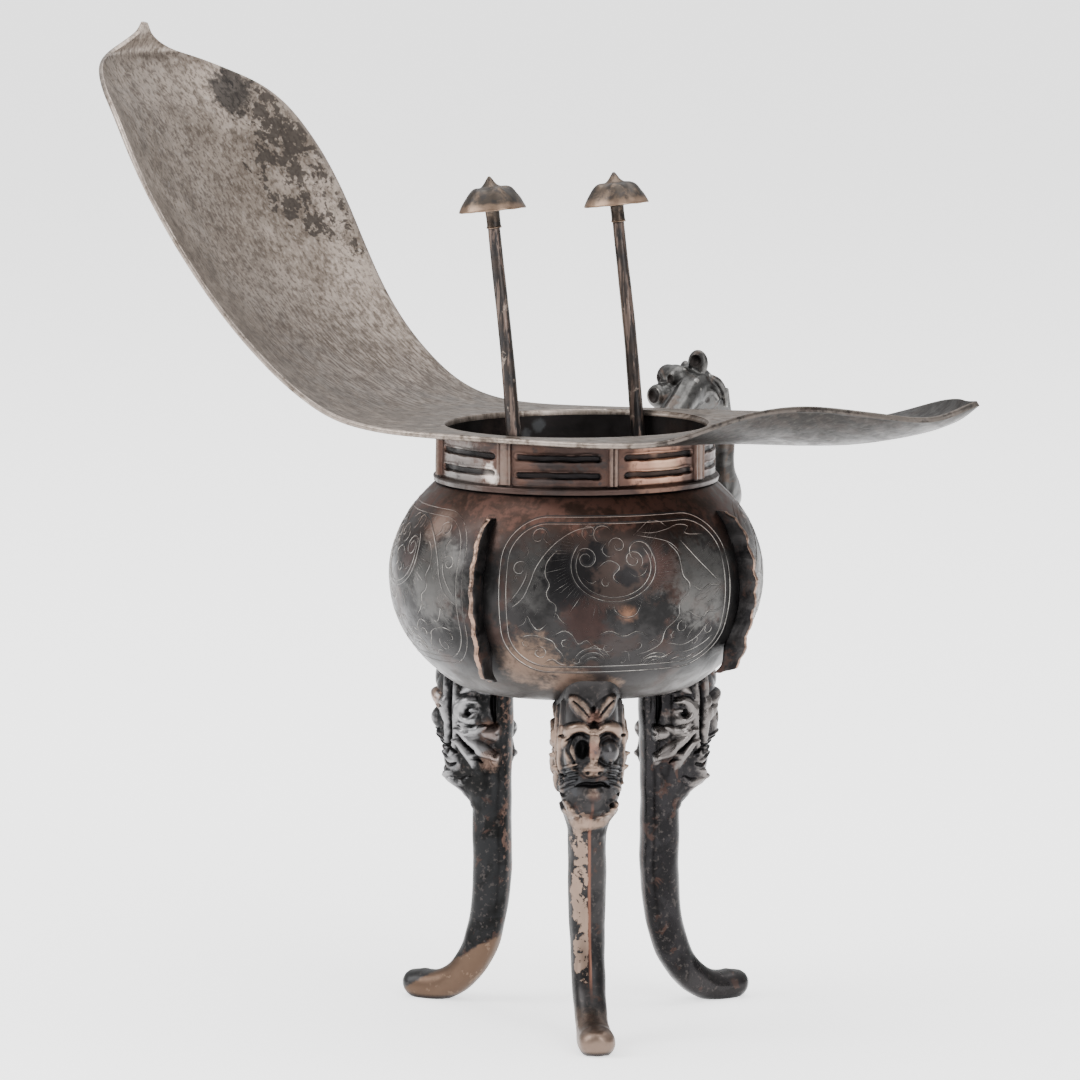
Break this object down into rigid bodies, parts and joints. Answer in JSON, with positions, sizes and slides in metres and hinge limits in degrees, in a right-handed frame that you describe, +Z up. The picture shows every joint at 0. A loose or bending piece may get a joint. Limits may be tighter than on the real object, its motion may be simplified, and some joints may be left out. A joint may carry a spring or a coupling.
{
  "type": "tripod wine cup",
  "caption": "Metal tripod wine cup with a round bowl, neck collar, upswept spout, curled tail, capped posts, beast-head handle and hooked legs with masks.",
  "frame": {"origin": "middle of the bounding box, on the ground under the feet", "axes": "+Z up, +X towards the tail, -X towards the pouring spout, +Y towards the handle"},
  "size_m": [0.1558, 0.0866, 0.1587],
  "materials": {
    "bowl_silver": "tarnished silver with engraved panels",
    "collar_silver": "tarnished silver rubbed to a copper tone",
    "sheet_silver": "worn silver sheet with fine scratches",
    "post_silver": "tarnished drawn wire",
    "cap_silver": "tarnished casting with worn edges",
    "leg_silver": "black tarnished casting with worn high spots",
    "handle_silver": "grey tarnished casting",
    "flange_silver": "tarnished sheet with worn edges"
  },
  "bodies": {
    "root": {"bowl": "bowl_silver", "collar": "collar_silver", "mouth_plate": "sheet_silver", "post_front": "post_silver", "post_back": "post_silver", "cap_front": "cap_silver", "cap_back": "cap_silver", "leg_spout": "leg_silver", "leg_front": "leg_silver", "leg_back": "leg_silver", "handle": "handle_silver", "flange_front": "flange_silver", "flange_tail": "flange_silver", "flange_spout": "flange_silver"}
  },
  "joints": []
}
